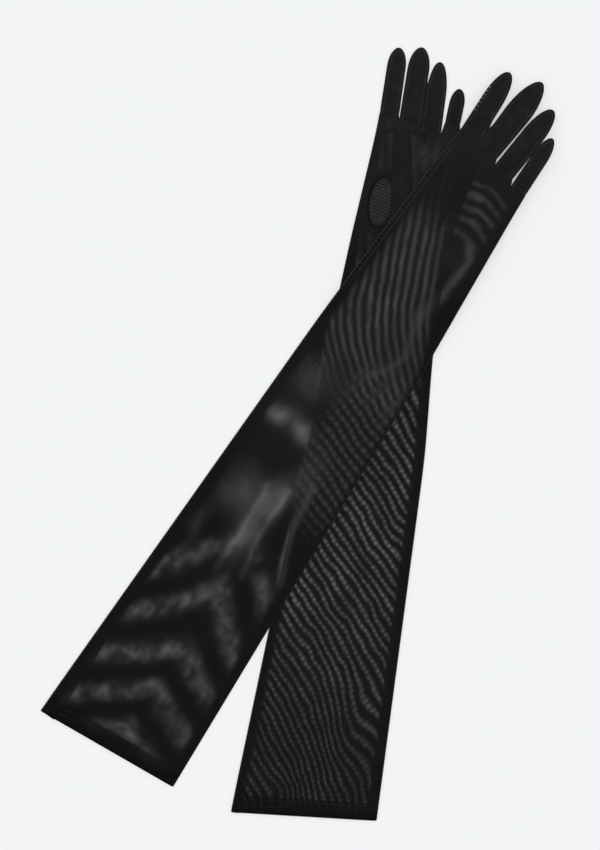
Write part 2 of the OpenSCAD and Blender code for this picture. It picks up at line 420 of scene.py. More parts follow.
def strip(width, height, up=0.0, inwards=0.0, bevel=0.15 * MM):
    """A flat profile with softened corners that starts inwards from the path."""
    low, high = up - height / 2, up + height / 2
    near, far = inwards, inwards + width
    return [(near, low + bevel), (near + bevel, low), (far - bevel, low), (far, low + bevel),
            (far, high - bevel), (far - bevel, high), (near + bevel, high), (near, high - bevel)]


def thread(name, glove, centres, radius, material):
    """Thread through lists of (across, along, height) points, each list one closed tube."""
    sides = 5
    flat, heights, faces, start = [], [], [], 0
    for line in centres:
        line = np.array(line)
        run = np.gradient(line, axis=0)
        run /= np.maximum(np.linalg.norm(run, axis=1), TINY)[:, None]
        side = np.cross(run, (0.0, 0.0, 1.0))
        side /= np.maximum(np.linalg.norm(side, axis=1), TINY)[:, None]
        up = np.cross(side, run)
        for k in range(sides):
            angle = 2 * math.pi * k / sides
            ring = line + radius * (math.cos(angle) * side + math.sin(angle) * up)
            flat.append(ring[:, :2])
            heights.append(ring[:, 2])
        count = len(line)
        for i in range(count - 1):
            for k in range(sides):
                here, after = start + k * count + i, start + (k + 1) % sides * count + i
                faces.append((here, here + 1, after + 1, after))
        faces.append(tuple(start + k * count for k in range(sides)))
        faces.append(tuple(start + k * count + count - 1 for k in reversed(range(sides))))
        start += sides * count
    return piece(name, glove, np.vstack(flat), np.concatenate(heights), faces, material)


# -------------------- material fields


class Field:
    """A value that varies over a material, written as arithmetic and made as math nodes."""

    def __init__(self, tree, value):
        self.tree, self.value = tree, value

    def math(self, operation, *others):
        node = self.tree.nodes.new("ShaderNodeMath")
        node.operation = operation
        for socket, field in zip(node.inputs, (self, *others)):
            value = field.value if isinstance(field, Field) else field
            if isinstance(value, (int, float)):
                socket.default_value = value
            else:
                self.tree.links.new(value, socket)
        return Field(self.tree, node.outputs[0])

    def __add__(self, other):
        return self.math("ADD", other)

    def __sub__(self, other):
        return self.math("SUBTRACT", other)

    def __mul__(self, other):
        return self.math("MULTIPLY", other)

    def __truediv__(self, other):
        return self.math("DIVIDE", other)

    __radd__, __rmul__ = __add__, __mul__

    def __rsub__(self, other):
        return Field(self.tree, other) - self

    def square(self):
        return self * self

    def root(self):
        return self.math("SQRT")

    def exp(self):
        return self.math("EXPONENT")

    def power(self, exponent):
        return self.math("POWER", exponent)

    def at_least(self, other):
        return self.math("MAXIMUM", other)

    def at_most(self, other):
        return self.math("MINIMUM", other)

    def step(self, low, high):
        """0 below low, 1 above high, smooth between."""
        node = self.tree.nodes.new("ShaderNodeMapRange")
        node.interpolation_type = "SMOOTHSTEP"
        self.tree.links.new(self.value, node.inputs["Value"])
        for name, value in (("From Min", low), ("From Max", high), ("To Min", 0), ("To Max", 1)):
            node.inputs[name].default_value = value
        return Field(self.tree, node.outputs["Result"])

    def fringe(self):
        """0 to 1 and back over each whole number."""
        return (self * (2 * math.pi)).math("COSINE") * 0.5 + 0.5


class Cloth:
    """A material's tree, with the cloth's coordinates in millimetres and a Principled shader."""

    def __init__(self, name, colour, roughness, specular, sheen):
        self.material = bpy.data.materials.new(name)
        self.material.use_nodes = True
        self.tree = self.material.node_tree
        self.shader = self.tree.nodes["Principled BSDF"]
        for socket, value in (("Roughness", roughness), ("Specular IOR Level", specular),
                              ("Sheen Weight", sheen), ("Sheen Roughness", 0.5)):
            self.shader.inputs[socket].default_value = value
        attribute = self.tree.nodes.new("ShaderNodeAttribute")
        attribute.attribute_name = "cloth"
        self.place = attribute.outputs["Vector"]
        split = self.tree.nodes.new("ShaderNodeSeparateXYZ")
        self.tree.links.new(self.place, split.inputs[0])
        self.u, self.v, self.from_rim = (Field(self.tree, out) for out in split.outputs)
        self.tint(colour)

    def noise(self, size_mm, detail=2.0):
        """Noise about 0, from about -0.5 to 0.5, with features of that size."""
        node = self.tree.nodes.new("ShaderNodeTexNoise")
        node.inputs["Scale"].default_value = 1 / size_mm
        node.inputs["Detail"].default_value = detail
        self.tree.links.new(self.place, node.inputs["Vector"])
        return Field(self.tree, node.outputs["Fac"]) - 0.5

    def tint(self, colour):
        """The colour, a little uneven over the cloth."""
        mix = self.tree.nodes.new("ShaderNodeMix")
        mix.data_type = "RGBA"
        mix.inputs["A"].default_value = (*[0.78 * c for c in colour], 1)
        mix.inputs["B"].default_value = (*[1.28 * c for c in colour], 1)
        share = (self.noise(9.0, 4.0) * 1.6 + 0.5).at_least(0).at_most(1)
        self.tree.links.new(share.value, mix.inputs["Factor"])
        self.tree.links.new(mix.outputs["Result"], self.shader.inputs["Base Color"])

    def lighten(self, amount):
        """Adds that much, from 0 to 1, to the colour."""
        grey = self.tree.nodes.new("ShaderNodeVectorMath")
        grey.operation = "SCALE"
        grey.inputs[0].default_value = (0.97, 0.99, 1.05)
        self.tree.links.new(amount.value, grey.inputs["Scale"])
        total = self.tree.nodes.new("ShaderNodeVectorMath")
        total.operation = "ADD"
        socket = self.shader.inputs["Base Color"]
        self.tree.links.new(socket.links[0].from_socket, total.inputs[0])
        self.tree.links.new(grey.outputs[0], total.inputs[1])
        self.tree.links.new(total.outputs[0], socket)

    def loosen(self, distance):
        """Moves patches and streaks unevenly over the cloth, by about that many millimetres."""
        self.u, self.v = self.u + self.noise(31.0) * distance, self.v + self.noise(23.0) * distance

    def patch(self, along, across, long, wide):
        """A soft round patch: 1 in its middle."""
        away = ((self.v - along) / long).square() + ((self.u - across) / wide).square()
        return (away * -1).exp()

    def patches(self, *places):
        """Patches added up, each given as (along, across, long, wide, strength)."""
        total = None
        for *place, strength in places:
            one = self.patch(*place) * strength
            total = one if total is None else total + one
        return total

    def streak(self, width, *places):
        """A soft line through (along, across) places: 1 on the line."""
        nearest = None
        for (v0, u0), (v1, u1) in zip(places, places[1:]):
            dv, du, length = v1 - v0, u1 - u0, (v1 - v0) ** 2 + (u1 - u0) ** 2
            t = ((self.v - v0) * (dv / length) + (self.u - u0) * (du / length))
            t = t.at_least(0).at_most(1)
            away = (self.v - v0 - t * dv).square() + (self.u - u0 - t * du).square()
            nearest = away if nearest is None else nearest.at_most(away)
        return (nearest / -(width * width)).exp()

    def bump(self, height, distance_mm):
        node = self.tree.nodes.new("ShaderNodeBump")
        node.inputs["Strength"].default_value = 1.0
        node.inputs["Distance"].default_value = distance_mm * MM
        self.tree.links.new(height.value, node.inputs["Height"])
        self.tree.links.new(node.outputs["Normal"], self.shader.inputs["Normal"])

    def let_through(self, share):
        """The share of light that a whole sheet lets through. A sheet has two faces, so each
        face has the square root of it."""
        alpha = 1 - share.at_least(0.0004).root()
        self.tree.links.new(alpha.value, self.shader.inputs["Alpha"])

    def weave(self, pitch_mm, distance_mm):
        """The net's own diagonal holes, as relief."""
        a = ((self.u + self.v) / (pitch_mm * 1.414)).fringe()
        b = ((self.u - self.v) / (pitch_mm * 1.414)).fringe()
        self.bump(a + b, distance_mm)


NET_BLACK = (0.0034, 0.0035, 0.0038)
FINGER_BLACK = (0.0082, 0.0085, 0.009)
SEAM_BLACK = (0.0026, 0.0027, 0.0029)
HEM_BLACK = (0.0014, 0.0016, 0.0016)
RIM_GREY = (0.013, 0.0135, 0.0145)


def net_cloth(name, colour=NET_BLACK):
    cloth = Cloth(name, colour, roughness=0.62, specular=0.05, sheen=0.006)
    cloth.weave(pitch_mm=1.1, distance_mm=0.05)
    return cloth


def under_net(name):
    """A layer that lies under another one of the same glove."""
    cloth = net_cloth(name)
    cloth.let_through(cloth.noise(30.0) * 0.16 + 0.64)
    return cloth.material


def hem_shade_and_lighter_hand(v):
    """How the net's colour changes along it: darker at the hem, as painted shade where the turned hem's
    two more plies beneath it let no light up from the floor, and lighter from the wrist on and again
    towards the finger roots.
    """
    return v.step(10, 16) * 0.0018 + v.step(440, 500) * 0.003 + v.step(530, 562) * 0.003 - 0.0018


def left_net():
    """The left glove's upper layer: tight, beaded moire fringes, and a closed hand."""
    cloth = net_cloth("left net")
    u, v = cloth.u, cloth.v
    near_hem = (v / -60).exp()
    slack = ((v - 345) / 25).exp() + 1
    order = (u + v) * 0.105 + near_hem * (u * 0.067 + 3.9) - slack.math("LOGARITHM", math.e) * 2.1
    order += cloth.noise(46.0) * 1.5 + cloth.noise(13.0) * 0.5
    order += cloth.patch(72, 22, 42, 20) * 1.8 - cloth.patch(18, -20, 16, 14) * 1.2
    beads = ((v * 0.8 - u * 0.9) / 5.4 + cloth.noise(17.0)).fringe() * 0.44 + 0.53
    fringes = order.fringe().power(1.5) * beads
    strength = v.step(40, 190) * 0.55 + 0.55
    strength *= (cloth.noise(26.0, 3.0) * 1.5 + 0.95).at_least(0.25).at_most(1.25)
    closed = (v.step(425, 455) * (1 - u.step(-14, 2))).at_least(v.step(488, 500)) * 0.84
    cloth.loosen(7)
    swirl = cloth.patch(536, 5, 8, 9) - cloth.patch(536, 5, 3, 3) * 1.1
    # Two creases by the finger roots: they cut the light let through, and darken the colour below the
    # net's own as painted shade
    creases = cloth.streak(2.2, (552, -27), (553, -1)) * 0.8 + cloth.streak(2, (562, 0), (548, 4)) * 0.8
    moire = (fringes * strength * (1 - closed) + swirl * 0.2) * cloth.from_rim.step(4, 10)
    moire = (moire + 0.05) * (1 - creases.at_most(1))
    # Painted light: the moire's bright fringes are the floor's light coming up through the layers'
    # holes. Besides being let through, they are painted into the colour, more towards the hand. The hem
    # and the creases get painted shade.
    cloth.lighten(moire * (v.step(430, 470) * 0.05 + 0.022) + hem_shade_and_lighter_hand(v) - creases.at_most(1) * 0.003)
    cloth.let_through(moire * 0.46 + 0.006)
    return cloth.material


def right_net():
    """The right glove's upper layer: broad chevrons, cloudy forearm, striped wrist, arced hand."""
    cloth = net_cloth("right net")
    u, v = cloth.u, cloth.v
    over_left = u + (v - 280) * 0.42
    crossing = over_left.step(1, 6) * (1 - over_left.step(84, 96))

    # Chevrons between hem and elbow
    steeper = v.step(60, 150)
    aside = u - 5
    apex = v + (aside * -1).at_least(0) * (steeper * 0.6 + 0.77)
    apex += aside.at_least(0) * (steeper * 0.7 + 0.5)
    apex += cloth.noise(34.0) * 14 + cloth.noise(11.0) * 6
    order = (apex.at_most(99) - 22) / 38.5 + (apex - 99).at_least(0) / 56
    knots = (cloth.noise(14.0, 2.0) * 2.4 + 0.8).at_least(0.2).at_most(1.25)
    chevrons = order.fringe().power(1.15) * knots * (1 - v.step(165, 215))

    # Clouds, creases and hollows round the elbow
    cloth.loosen(7)
    clouds = cloth.patches((222, 1, 44, 11, 0.9), (230, -24, 26, 17, 0.7), (268, 16, 22, 9, 0.5),
                           (337, -22, 19, 20, 0.55), (298, -31, 10, 12, 0.75),
                           (295, -8, 10, 9, 0.75))
    for strength, width, *places in ((0.3, 7, (296, -36), (304, -20), (292, -3)),
                                     (0.3, 3, (168, -7), (200, -5), (245, -8)),
                                     (0.4, 3, (172, 14), (205, 9), (250, 8)),
                                     (0.8, 3.2, (184, 43), (206, 33), (232, 27), (262, 24))):
        clouds += cloth.streak(width, *places) * strength
    clouds = clouds * (cloth.noise(26.0, 3.0) * 1.3 + 0.95)
    hollows = cloth.patch(192, -27, 19, 10) * 0.85 + cloth.patch(268, -12, 12, 15) * 0.85
    hollows += cloth.streak(2.6, (205, 44), (232, 35), (268, 32)) * 0.6
    clouds = clouds * (1 - hollows).at_least(0.05) + cloth.patch(185, -37, 9, 5) * 0.35
    curl = cloth.streak(3, (362, 12), (376, 22), (390, 28), (407, 23), (424, 20)) * 0.5
    curl += cloth.streak(4.5, (424, 20), (446, 26), (472, 28), (484, 30), (490, 24)) * 0.62
    curl += cloth.patch(476, 15, 16, 9) * 0.2

    # Beads and stripes where the right glove lies over the left one
    wander = cloth.noise(30.0) * 0.9
    beaded = ((u - v * 0.3) / 6.5 + wander).fringe() * 0.6 + 0.4
    beaded = ((v + u * 0.4) / 7.6 + wander).fringe().power(1.4) * beaded * 0.95 + 0.08
    beaded *= v.step(215, 265) * (1 - v.step(345, 385)) * u.step(-8, 12)
    pitch = 9.2 - v.step(380, 430) * 1.6
    turned = (((v - 397) / -13).exp() + 1).math("LOGARITHM", math.e) * -13
    stripes = (u + (v - 397) * 0.42 + turned * 0.7) / pitch + wander * 0.9
    knotted = (cloth.noise(17.0, 2.0) * 1.7 + 0.85).at_least(0.3).at_most(1.3)
    brightness = cloth.patch(425, -12, 45, 22) * 0.5 + 0.8
    stripes = stripes.fringe().power(1.4) * knotted * brightness + 0.16
    stripes *= v.step(325, 375) * (1 - v.step(478, 512) * 0.9)

    # Arcs over the back of the hand, and the plain dark wedge of the thumb below it
    bowed = v + (u - 12).square() * 0.015 - 497 + cloth.noise(20.0) * 7 + cloth.noise(8.0) * 3
    arcs = (bowed / 13 * (bowed * 0.0049 + 1)).fringe().power(1.3) * 0.55 + 0.06
    arcs *= knotted * u.step(-9, 1) * v.step(488, 500) * (1 - v.step(536, 552))

    beyond = (v - 490).at_least(0)
    wedge = (u + 6 + beyond * 0.13).math("ABSOLUTE") - beyond * 0.105
    shown = 1 - (1 - wedge.step(-1, 3)) * v.step(484, 494)
    bare = u.step(0, 20) * v.step(190, 250) * (1 - v.step(385, 420))
    shown *= (cloth.from_rim + bare * 6).step(5, 12) * (1 - v.step(540, 556))
    moire = (chevrons * 0.78 + clouds + curl + arcs) * shown
    closed_moire = crossing * (beaded + stripes) * shown
    haze = cloth.patch(318, -20, 60, 28) * (1 - crossing) * 0.0045
    turning = (((cloth.from_rim - 3.8) / 0.8).square() * -1).exp() * (1 - u.step(-25, -15))
    turning *= v.step(400, 440) * (1 - v.step(545, 562))
    # Painted light: the moire's bright chevrons, clouds, curl and arcs are the floor's light coming up
    # through the layers' holes. Besides being let through, they are painted into the colour, more where
    # the glove crosses the left one. The beads and stripes of the crossing are only painted light. The
    # colour also gets a soft lighter haze by the elbow, a lighter line just inside the thumb-side rim
    # from the wrist on, and painted shade at the hem.
    cloth.lighten(moire * (crossing * 0.034 + 0.02) + closed_moire * 0.033 + haze
                  + turning * 0.009 + hem_shade_and_lighter_hand(v))
    cloth.let_through(moire * 0.42 + 0.006)
    return cloth.material


def finger_cloth(name):
    """Closed, doubled net of fingers and thumbs, a little lighter along its rims."""
    cloth = net_cloth(name, FINGER_BLACK)
    rim = (((cloth.from_rim - 1.9) / 0.6).square() * -1).exp()
    mottled = cloth.noise(9.0, 3.0).at_least(0) * 0.014
    cloth.lighten(rim * 0.011 + mottled + cloth.v.step(565, 600) * 0.002)
    cloth.let_through(cloth.noise(7.0, 3.0).at_least(0) * 0.03 + 0.01)
    return cloth.material


def thumb_cloth(glove, hole):
    """The thumb's outer net: closed, apart from a fine-striped window over the oval hole."""
    cloth = net_cloth(f"{glove.side} thumb net", (0.0092, 0.0095, 0.0101))
    middle, half = hole.mean(axis=0) / MM, (hole.max(axis=0) - hole.min(axis=0)) / 2 / MM
    across = (cloth.u - float(middle[0])) / float(half[0])
    along = (cloth.v - float(middle[1])) / float(half[1])
    window = 1 - (across.square() + along.square()).step(0.72, 0.98)
    stripes = ((cloth.v + cloth.u * 0.2) / 2.7 + cloth.noise(14.0) * 0.8).fringe()
    share = 0.01 + window * (0.11 + stripes * 0.14)
    cloth.let_through(share)
    return cloth.material


def ribbed(name, colour, pitch_mm, specular=0.05, sheen=0.005):
    """Closed cloth of several layers, with fine ribs across it."""
    cloth = Cloth(name, colour, roughness=0.7, specular=specular, sheen=sheen)
    ribs = (cloth.v / pitch_mm + cloth.noise(4.0) * 0.4).fringe()
    cloth.bump(ribs + cloth.noise(1.5, 4.0), distance_mm=0.06)
    return cloth.material


def spun(name, colour):
    """Thread, with its twist."""
    cloth = Cloth(name, colour, roughness=0.5, specular=0.25, sheen=0.05)
    cloth.bump(((cloth.u + cloth.v) / 0.5).fringe(), distance_mm=0.05)
    return cloth.material


SEAM = ribbed("seam turnings", SEAM_BLACK, 0.9)
HEM = ribbed("turned hem", HEM_BLACK, 1.3)
FOURCHETTE = ribbed("fourchette net", SEAM_BLACK, 0.8)
RIM = ribbed("edge roll", RIM_GREY, 1.1, specular=0.1, sheen=0.02)
# A paler grey edge roll, used along the right glove's thumb side
PALE_RIM = ribbed("pale edge roll", (0.03, 0.031, 0.034), 1.1, specular=0.1, sheen=0.02)
THREAD = spun("thread", (0.0024, 0.0025, 0.0027))
PALE_THREAD = spun("pale thread", (0.05, 0.051, 0.056))
FRAYED_THREAD = spun("frayed thread", (0.30, 0.31, 0.34))
FINGER_NET = finger_cloth("finger net")


# -------------------- the parts of a glove


def over(glove, up):
    """A height function: that far above the glove's underside."""
    return lambda flat, from_rim=None: glove.rest(flat) + up


def roundness(from_rim):
    """0 at a sheet's rim and 1 from EDGE_ROUND inwards, along a quarter circle."""
    share = np.clip(from_rim / EDGE_ROUND, 0, 1)
    return np.sqrt(np.maximum(1 - (1 - share) ** 2, 0))


def layer(glove, up, puff=0.0):
    """A layer's height: it comes down, or up, to the seam line at its rim, and puffs in between."""
    def height(flat, from_rim):
        full = smoothstep(from_rim, 8 * MM, 30 * MM)
        return glove.rest(flat) + SEAM_LINE + (up - SEAM_LINE) * roundness(from_rim) + puff * full
    return height


def fold_blend(glove, made):
    """Bakes a piece's placement into its mesh. It works out the two ends of the fold zone, where the
    upper sleeve folds over the rest of the glove, but nothing bends there.
    """
    fold = FOLD_FROM_HEM[glove.side]
    glove.point(0, fold - FOLD_ZONE[0])
    glove.point(0, fold + FOLD_ZONE[1])
    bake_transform(made)
    return made


def declare(outline, holes=()):
    """Works out the size and area that a laid sheet was cut to, and does nothing with them."""
    size = outline.max(axis=0) - outline.min(axis=0)
    area = area_of(outline) - sum(area_of(hole) for hole in holes)


def panels(glove, outline, hole, upper_cloth):
    """The back and palm nets, from hem to finger roots. The upper one shows the moire."""
    side = glove.side
    palm_up = side == "left"
    under = under_net(f"{side} under net")
    made = {}
    for name in ("back", "palm"):
        is_upper = (name == "palm") == palm_up
        holes = [hole] if name == "palm" else []
        height = layer(glove, TOP_NET, PUFF) if is_upper else layer(glove, UNDER_NET)
        material = upper_cloth if is_upper else under
        sheet = net(f"{side}_{name}_net", glove, outline, height, material, holes)
        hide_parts(f"{side}_{name}_panel", f"{side}_upper_{name}_panel")
        made[is_upper] = (fold_blend(glove, sheet), holes)
    return made[False], made[True]


def long_seams(glove, outline):
    """Turnings inside each long edge, the roll of the edge itself and its overlock stitches."""
    made = []
    for name, side in (("inner", -1), ("outer", 1)):
        run = glove.edge_run(outline, side)
        widths = seam_width(glove, side, run)
        seam = swept_band(f"{glove.side}_{name}_turnings", glove, run, widths)
        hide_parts(f"{glove.side}_{name}_seam", f"{glove.side}_upper_{name}_seam")
        fold_blend(glove, seam)
        pale = (glove.side, side) == ("right", -1)
        roll = swept(f"{glove.side}_{name}_edge_roll", glove, run,
                     oval(0.55 * MM, 0.8 * MM, up=SEAM_LINE, inwards=0.15 * MM),
                     over(glove, 0), PALE_RIM if pale else RIM)
        fold_blend(glove, roll)
        loops = overlock(f"{glove.side}_{name}_overlock", glove, run, PALE_THREAD if pale else THREAD)
        fold_blend(glove, loops)
        made += [seam, roll, loops]
    return made


def seam_width(glove, side, run):
    """How wide the turnings show along a long edge: wider towards the right glove's hem."""
    usual = {("left", -1): 6.2, ("left", 1): 8.5, ("right", -1): 8.6, ("right", 1): 6.6}
    width = np.full(len(run), usual[glove.side, side] * MM)
    if (glove.side, side) == ("right", -1):
        width += 4.5 * MM * (1 - smoothstep(run[:, 1], 0, 150 * MM))
    return width


def swept_band(name, glove, run, widths):
    """A flat strip inside an edge, as wide at each point as widths says."""
    start, half_thick = 1.1 * MM, 0.2 * MM
    inward = normals_of(run, False)
    unevenness = 0.35 * MM * np.sin(run[:, 1] / (6.1 * MM))
    corners = []
    for offset in (np.full(len(run), start), widths + unevenness):
        for height in (PLY - half_thick, PLY + half_thick):
            flat = run + inward * offset[:, None]
            corners.append((flat, glove.rest(flat) + height))
    round_it = (0, 1, 3, 2)
    flat = np.stack([corners[k][0] for k in round_it], axis=1).reshape(-1, 2)
    heights = np.stack([corners[k][1] for k in round_it], axis=1).ravel()
    faces = strip_faces(len(run), len(round_it))
    return piece(name, glove, flat, heights, faces, SEAM)


def overlock(name, glove, run, material):
    """Loops of thread over an edge, a few millimetres apart."""
    pitch, slant, reach, proud, end_gap = 3.6 * MM, 1.6 * MM, 1.5 * MM, 0.35 * MM, 2 * MM
    along = lengths_along(run)
    inward = normals_of(run, False)
    loops = []
    for start in np.arange(end_gap, along[-1] - end_gap, pitch):
        turns = np.linspace(0, 1, 9)
        at = start + turns * slant
        out = -proud + (reach + proud) * np.abs(np.cos(math.pi * turns))
        flat = points_at(run, along, at) + points_at(inward, along, at) * out[:, None]
        rise = SEAM_LINE + 0.24 * MM + 0.54 * MM * np.cos(math.pi * turns)
        loops.append(np.column_stack([flat, glove.rest(flat) + rise]))
    return thread(name, glove, loops, 0.18 * MM, material)


def hem(glove, outline):
    """The turned-up hem: a fold inside each layer, with its edge roll and two rows of stitches."""
    corner_inset = 0.875 * MM
    thumb_corner = glove.edge_run(outline, -1)[-1]
    little_corner = glove.edge_run(outline, 1)[0]
    ends = np.array([thumb_corner, little_corner])
    run = smoothed(ends, RIM_STEP, corner_deg=90, passes=0, closed=False)
    run[0, 0] += corner_inset
    run[-1, 0] -= corner_inset
    made = []
    for name, up in (("lower", 0.42 * MM), ("upper", 0.80 * MM)):
        fold = swept(f"{glove.side}_{name}_hem", glove, run[1:-1],
                     strip(HEM_DEPTH, 0.24 * MM, up=up, inwards=0.3 * MM, bevel=0.08 * MM),
                     over(glove, 0), HEM)
        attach(fold, glove.sleeve)
        made.append(fold)
    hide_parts(f"{glove.side}_hem")
    for name, up in (("lower", 0.3 * MM), ("upper", 0.95 * MM)):
        roll = swept(f"{glove.side}_{name}_hem_roll", glove, run, oval(0.7 * MM, 0.5 * MM, up=up),
                     over(glove, 0), HEM)
        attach(roll, glove.sleeve)
        made.append(roll)
    pitch, stitch = 4 * MM, 2.9 * MM
    arch = np.array([-0.1, 0.16, 0.2, 0.16, -0.1]) * MM
    rise = TOP_NET + NET_T / 2 + PUFF / 3 + arch
    stitches = []
    for row in STITCH_ROWS:
        line = run + normals_of(run, False) * row
        along = lengths_along(line)
        for start in np.arange(9 * MM, along[-1] - 11 * MM, pitch):
            flat = points_at(line, along, start + np.linspace(0, stitch, len(arch)))
            stitches.append(np.column_stack([flat, glove.rest(flat) + rise]))
    sewn = thread(f"{glove.side}_hem_stitches", glove, stitches, 0.15 * MM, THREAD)
    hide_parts(f"{glove.side}_hem_stitching")
    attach(sewn, glove.sleeve)
    return [*made, sewn]


def finger_frame(outline):
    """Middle of a finger's root and its unit direction, from its outline."""
    low = outline[np.argsort(outline[:, 1])[:2]]
    root = low.mean(axis=0)
    tip = outline[np.argmax(np.linalg.norm(outline - root, axis=1))]
    reach = tip - root
    return root, reach / np.linalg.norm(reach)


def finger(glove, name):
    """One finger: back and palm nets tucked into the hand, its side strips and its rim."""
    side = glove.side
    node = f"{side}_{name}"
    corners = glove.cad_outlines(f"{node}_back")[0]
    root, reach = finger_frame(corners)
    at_root = (corners - root) @ reach < 0.4 * MM
    lengthened = corners.copy()
    lengthened[at_root] -= reach * FINGER_TUCK
    outline = smoothed(lengthened, 1.5 * MM, corner_deg=180, passes=5)
    outline = spread(outline, root, reach, side, name)
    bend = [glove.point(*(root + reach * place)) for place in FINGER_BEND]

    def height(up, swell):
        def at(flat, from_rim):
            out = (flat - root) @ reach
            free = smoothstep(out, -1 * MM, 5 * MM)
            tucked = PLY + (up - PLY) * 0.35
            swollen = up + swell * smoothstep(from_rim, 0, 7 * MM)
            full = SEAM_LINE + (swollen - SEAM_LINE) * roundness(from_rim)
            return glove.rest(flat) + tucked + (full - tucked) * free
        return at

    nets, trims = {}, []
    palm_up = side == "left"
    for half in ("back", "palm"):
        is_upper = (half == "palm") == palm_up
        made = net(f"{node}_{half}_net", glove, outline,
                   height(TOP_NET, 0.9 * MM) if is_upper else height(UNDER_NET, 0.0),
                   FINGER_NET, step=FINGER_STEP)
        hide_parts(f"{node}_{half}")
        nets[is_upper] = made

    sides = side_runs(outline, root, reach)
    for which, run in sides.items():
        outer = (name, which) in (("index", -1), ("little", 1))
        if outer:
            made = swept(f"{node}_seam_turnings", glove, run,
                         strip(2.6 * MM, 0.3 * MM, up=PLY, inwards=0.9 * MM),
                         over(glove, 0), SEAM)
            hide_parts(f"{node}_seam")
        else:
            label = "thumb_side" if which < 0 else "little_side"
            made = swept(f"{node}_{label}_fourchette", glove, run, FOURCHETTE_FOLD,
                         over(glove, 0), FOURCHETTE)
            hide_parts(f"{node}_fourchettes")
        trims.append(made)
    if (side, name) == ("right", "index"):
        out = (sides[-1] - root) @ reach
        frayed = sides[-1][(out > 12 * MM) & (out < 46 * MM)]
        trims.append(overlock(f"{node}_overlock", glove, frayed, FRAYED_THREAD))
    rim = np.vstack([sides[1], tip_run(outline, root, reach), sides[-1]])
    roll = swept(f"{node}_rim", glove, rim, oval(0.5 * MM, 0.6 * MM, up=SEAM_LINE, inwards=0.1 * MM),
                 over(glove, 0), RIM)
    for made in (*nets.values(), *trims, roll):
        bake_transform(made)
    declare(outline)
    declare(outline)


# Where two fingers lie against each other: the side each spreads to, how far, and up to where
SPREAD = {("right", "index"): (1, 1.0 * MM, 17 * MM), ("right", "middle"): (-1, 1.1 * MM, 20 * MM),
          ("left", "middle"): (1, 0.6 * MM, 36 * MM), ("left", "ring"): (-1, 0.8 * MM, 40 * MM)}


def out_and_aside(places, root, reach):
    """How far places are out along a finger, and aside, towards the little finger."""
    away = places - root
    return away @ reach, away @ np.array([reach[1], -reach[0]])


def spread(outline, root, reach, side, name):
    """The finger's outline, spread sideways towards the finger it lies against."""
    if (side, name) not in SPREAD:
        return outline
    towards, amount, until = SPREAD[side, name]
    out, aside = out_and_aside(outline, root, reach)
    share = (1 - smoothstep(out, until - 9 * MM, until)) * smoothstep(towards * aside, 0, 5 * MM)
    return outline + towards * amount * share[:, None] * np.array([reach[1], -reach[0]])


FOURCHETTE_FOLD = [(0.5 * MM, 0.36 * MM), (3.0 * MM, 0.42 * MM), (3.0 * MM, 0.56 * MM),
                   (1.2 * MM, 0.58 * MM), (3.0 * MM, 0.66 * MM), (3.0 * MM, 0.82 * MM),
                   (0.5 * MM, 0.84 * MM), (0.3 * MM, 0.6 * MM)]
TIP_SHARE = 0.74


def side_runs(outline, root, reach):
    """The finger's two long sides, keyed by -1 for the thumb side and 1 for the other."""
    out, aside = out_and_aside(outline, root, reach)
    runs = {}
    for side in (-1, 1):
        chosen = (side * aside > 0) & (out > 0.5 * MM) & (out < TIP_SHARE * out.max())
        run = outline[chosen]
        order = np.argsort(out[chosen])
        runs[side] = run[order] if side > 0 else run[order[::-1]]
    return runs


def tip_run(outline, root, reach):
    """The finger's tip, from the little-finger side round to the thumb side."""
    out, aside = out_and_aside(outline, root, reach)
    chosen = out >= TIP_SHARE * out.max()
    centre = TIP_SHARE * out.max() - 2 * MM
    angle = np.arctan2(out[chosen] - centre, aside[chosen])
    return outline[chosen][np.argsort(angle)]


